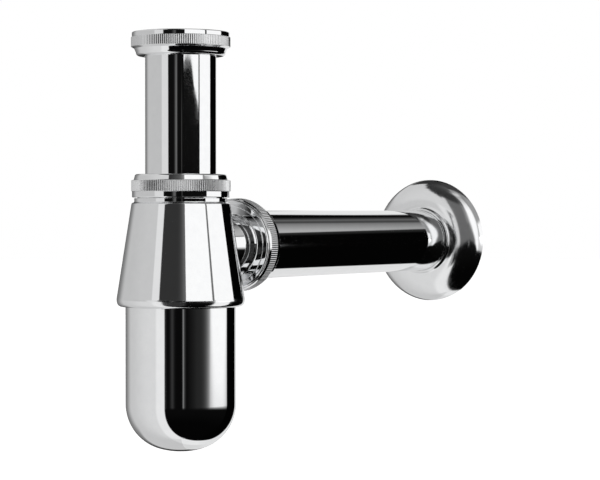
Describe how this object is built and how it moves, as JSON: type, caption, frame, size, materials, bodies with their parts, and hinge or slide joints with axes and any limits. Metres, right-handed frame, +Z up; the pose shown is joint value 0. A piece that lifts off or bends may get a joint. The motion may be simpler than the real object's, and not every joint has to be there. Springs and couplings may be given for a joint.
{
  "type": "bottle trap",
  "caption": "Chrome bottle trap for a wash basin: knurled inlet nut and dip pipe, conical body, screw-off domed cup, outlet pipe with slip nut and domed wall flange.",
  "frame": {"origin": "middle of the inlet washer's upper face, where the basin waste seats inside the inlet nut", "axes": "+Z up along the inlet pipe, +Y along the outlet pipe toward the wall"},
  "size_m": [0.0646, 0.2826, 0.1886],
  "materials": {
    "chrome": "polished chrome plate on brass",
    "rubber": "matt black moulded rubber",
    "slip_plastic": "natural white plastic"
  },
  "bodies": {
    "inlet": {"inlet_pipe": "chrome", "inlet_washer": "rubber"},
    "inlet_nut": {"inlet_nut": "chrome"},
    "neck_seal": {"neck_seal": "rubber"},
    "trap": {"trap_body": "chrome", "outlet_seal": "rubber"},
    "neck_slip_ring": {"neck_slip_ring": "slip_plastic"},
    "neck_nut": {"neck_nut": "chrome"},
    "cup_seal": {"cup_seal": "rubber"},
    "cup": {"cup": "chrome"},
    "outlet_slip_ring": {"outlet_slip_ring": "slip_plastic"},
    "outlet_nut": {"outlet_nut": "chrome"},
    "outlet_pipe": {"outlet_pipe": "chrome"},
    "wall_flange": {"wall_flange": "chrome"}
  },
  "joints": [
    {"name": "inlet_nut_turn", "type": "hinge", "parent": "inlet", "child": "inlet_nut", "pos_m": [0, 0, 0], "axis": [0, 0, 1], "continuous": true},
    {"name": "height_slide", "type": "slide", "parent": "inlet", "child": "neck_seal", "axis": [0, 0, 1], "range_m": [-0.03, 0.02]},
    {"name": "trap_swivel", "type": "hinge", "parent": "neck_seal", "child": "trap", "pos_m": [0, 0, -0.063], "axis": [0, 0, 1], "continuous": true},
    {"name": "neck_nut_rise", "type": "slide", "parent": "trap", "child": "neck_slip_ring", "axis": [0, 0, 1], "range_m": [0, 0.0081]},
    {"name": "neck_nut_turn", "type": "hinge", "parent": "neck_slip_ring", "child": "neck_nut", "pos_m": [0, 0, -0.063], "axis": [0, 0, 1], "range_deg": [0, 1260]},
    {"name": "cup_drop", "type": "slide", "parent": "trap", "child": "cup_seal", "axis": [0, 0, -1], "range_m": [0, 0.0101]},
    {"name": "cup_turn", "type": "hinge", "parent": "cup_seal", "child": "cup", "pos_m": [0, 0, -0.145], "axis": [0, 0, -1], "range_deg": [0, 1800]},
    {"name": "outlet_nut_run", "type": "slide", "parent": "trap", "child": "outlet_slip_ring", "axis": [0, 1, 0], "range_m": [0, 0.0081]},
    {"name": "outlet_nut_turn", "type": "hinge", "parent": "outlet_slip_ring", "child": "outlet_nut", "pos_m": [0, 0.0456, -0.0903], "axis": [0, 1, 0], "range_deg": [0, 1260]},
    {"name": "outlet_pipe_slide", "type": "slide", "parent": "trap", "child": "outlet_pipe", "axis": [0, 1, 0], "range_m": [0, 0.05]},
    {"name": "wall_flange_slide", "type": "slide", "parent": "outlet_pipe", "child": "wall_flange", "axis": [0, -1, 0], "range_m": [0, 0.14]}
  ],
  "couplings": [
    {"joint": "neck_nut_rise", "follows": "neck_nut_turn", "m_per_rad": 0.00036749},
    {"joint": "cup_drop", "follows": "cup_turn", "m_per_rad": 0.00031831},
    {"joint": "outlet_nut_run", "follows": "outlet_nut_turn", "m_per_rad": 0.00036749}
  ]
}
